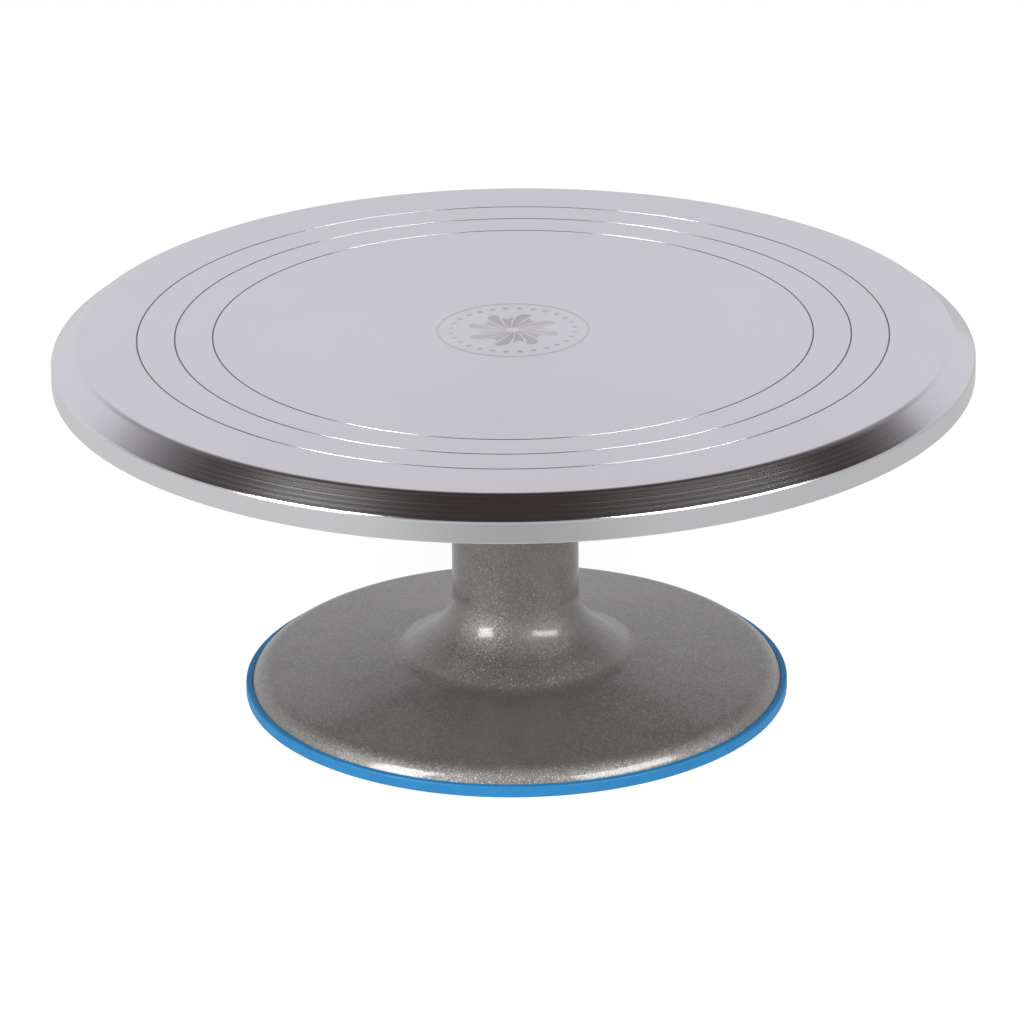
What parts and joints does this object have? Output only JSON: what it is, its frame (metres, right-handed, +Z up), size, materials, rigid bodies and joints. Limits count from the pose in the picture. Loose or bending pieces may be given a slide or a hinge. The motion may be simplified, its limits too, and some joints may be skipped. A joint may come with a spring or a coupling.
{
  "type": "cake turntable",
  "caption": "Bakery turntable: bevelled, grooved aluminium plate on a bearing spindle in a grey enamelled cast pedestal with a blue silicone foot ring.",
  "frame": {"origin": "on the floor, at the centre of the foot ring's underside", "axes": "+Z up along the spindle; the plate, pedestal and ring are round, so +X and +Y are free"},
  "size_m": [0.305, 0.305, 0.1276],
  "materials": {
    "plate_aluminium": "turned, bright, fine lathe lines",
    "hub_steel": "turned, satin",
    "spindle_steel": "ground",
    "bearing_steel": "polished",
    "zinc_steel": "bright zinc plated",
    "spring_steel": "oil blackened",
    "enamel": "grey metallic hammer enamel with fine bright flake, gloss",
    "silicone": "matt moulded silicone",
    "cage_nylon": "moulded",
    "black_plastic": "moulded, matt"
  },
  "bodies": {
    "base": {"base_casting": "enamel", "foot_ring": "silicone", "outer_spacer": "spindle_steel", "preload_washer": "spring_steel", "bore_circlip": "spring_steel", "dust_cap": "black_plastic", "bore_plug": "black_plastic", "upper_outer_ring": "bearing_steel", "lower_outer_ring": "bearing_steel", "upper_shields": "bearing_steel", "lower_shields": "bearing_steel"},
    "turntable": {"turntable_plate": "plate_aluminium", "hub_flange": "hub_steel", "flange_screws": "zinc_steel", "flange_washers": "zinc_steel", "spindle": "spindle_steel", "inner_spacer": "spindle_steel", "spindle_circlip": "spring_steel", "upper_inner_ring": "bearing_steel", "lower_inner_ring": "bearing_steel"},
    "upper_ball_set": {"upper_cage": "cage_nylon", "upper_balls": "bearing_steel"},
    "lower_ball_set": {"lower_cage": "cage_nylon", "lower_balls": "bearing_steel"}
  },
  "joints": [
    {"name": "turntable_spin", "type": "hinge", "parent": "base", "child": "turntable", "pos_m": [0, 0, 0.1141], "axis": [0, 0, 1], "continuous": true},
    {"name": "upper_ball_set_spin", "type": "hinge", "parent": "base", "child": "upper_ball_set", "pos_m": [0, 0, 0.1015], "axis": [0, 0, 1], "continuous": true},
    {"name": "lower_ball_set_spin", "type": "hinge", "parent": "base", "child": "lower_ball_set", "pos_m": [0, 0, 0.0615], "axis": [0, 0, 1], "continuous": true}
  ],
  "couplings": [
    {"joint": "upper_ball_set_spin", "follows": "turntable_spin", "ratio": 0.39868},
    {"joint": "lower_ball_set_spin", "follows": "turntable_spin", "ratio": 0.39868}
  ]
}
